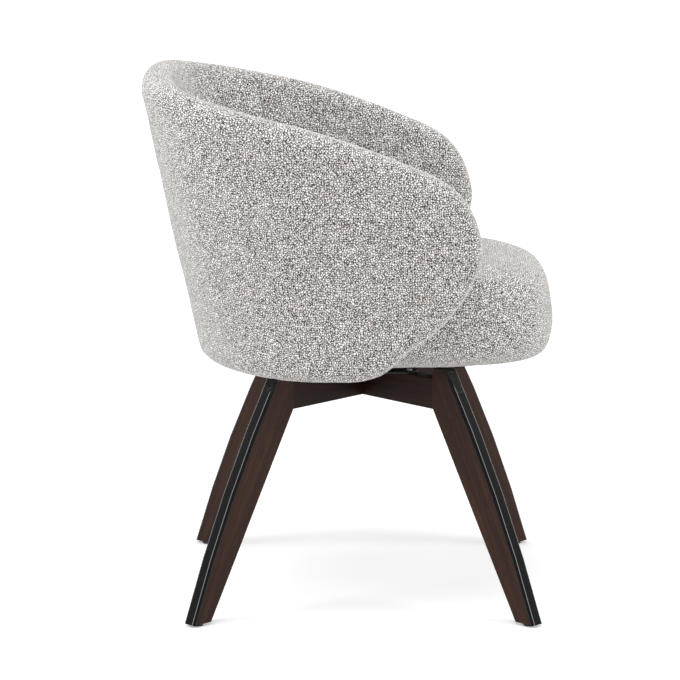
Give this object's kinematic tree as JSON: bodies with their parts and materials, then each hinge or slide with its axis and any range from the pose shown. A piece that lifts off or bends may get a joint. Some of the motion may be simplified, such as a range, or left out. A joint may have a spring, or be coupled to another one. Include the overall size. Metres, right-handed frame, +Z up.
{
  "type": "swivel armchair",
  "caption": "Low upholstered tub armchair: a wraparound padded back and round seat that swivel together on a splayed four-legged wooden cross base.",
  "frame": {"origin": "on the floor, on the swivel axis", "axes": "+X the way the sitter faces, +Y to the sitter's left, +Z up"},
  "size_m": [0.6023, 0.532, 0.781],
  "materials": {
    "stained_wood": "satin",
    "bare_hardwood": "matte",
    "plywood": "matte",
    "glide_plastic": "matte",
    "slide_plastic": "satin",
    "black_steel": "satin",
    "zinc_steel": "satin",
    "boucle_fabric": "matte",
    "foam": "matte",
    "dust_cloth": "matte"
  },
  "bodies": {
    "base": {"leg_front_left": "stained_wood", "leg_rear_left": "stained_wood", "leg_rear_right": "stained_wood", "leg_front_right": "stained_wood", "lower_rail": "stained_wood", "upper_rail": "stained_wood", "leg_tenons": "bare_hardwood", "foot_glides": "glide_plastic", "swivel_lower_plate": "black_steel", "swivel_slide_ring": "slide_plastic", "king_bolt": "zinc_steel", "king_nut": "zinc_steel", "lower_plate_screws": "zinc_steel"},
    "seat": {"swivel_upper_plate": "black_steel", "upper_plate_screws": "zinc_steel", "seat_board": "plywood", "seat_foam": "foam", "seat_top_cover": "boucle_fabric", "seat_side_cover": "boucle_fabric", "seat_dust_cover": "dust_cloth", "back_mounting_blocks": "bare_hardwood", "back_frame": "plywood", "back_foam": "foam", "outer_back_cover": "boucle_fabric", "inner_back_cover": "boucle_fabric", "inner_arm_cover_left": "boucle_fabric", "inner_arm_cover_right": "boucle_fabric"}
  },
  "joints": [
    {"name": "seat_swivel", "type": "hinge", "parent": "base", "child": "seat", "pos_m": [0, 0, 0], "axis": [0, 0, 1], "range_deg": [-90, 90]}
  ]
}
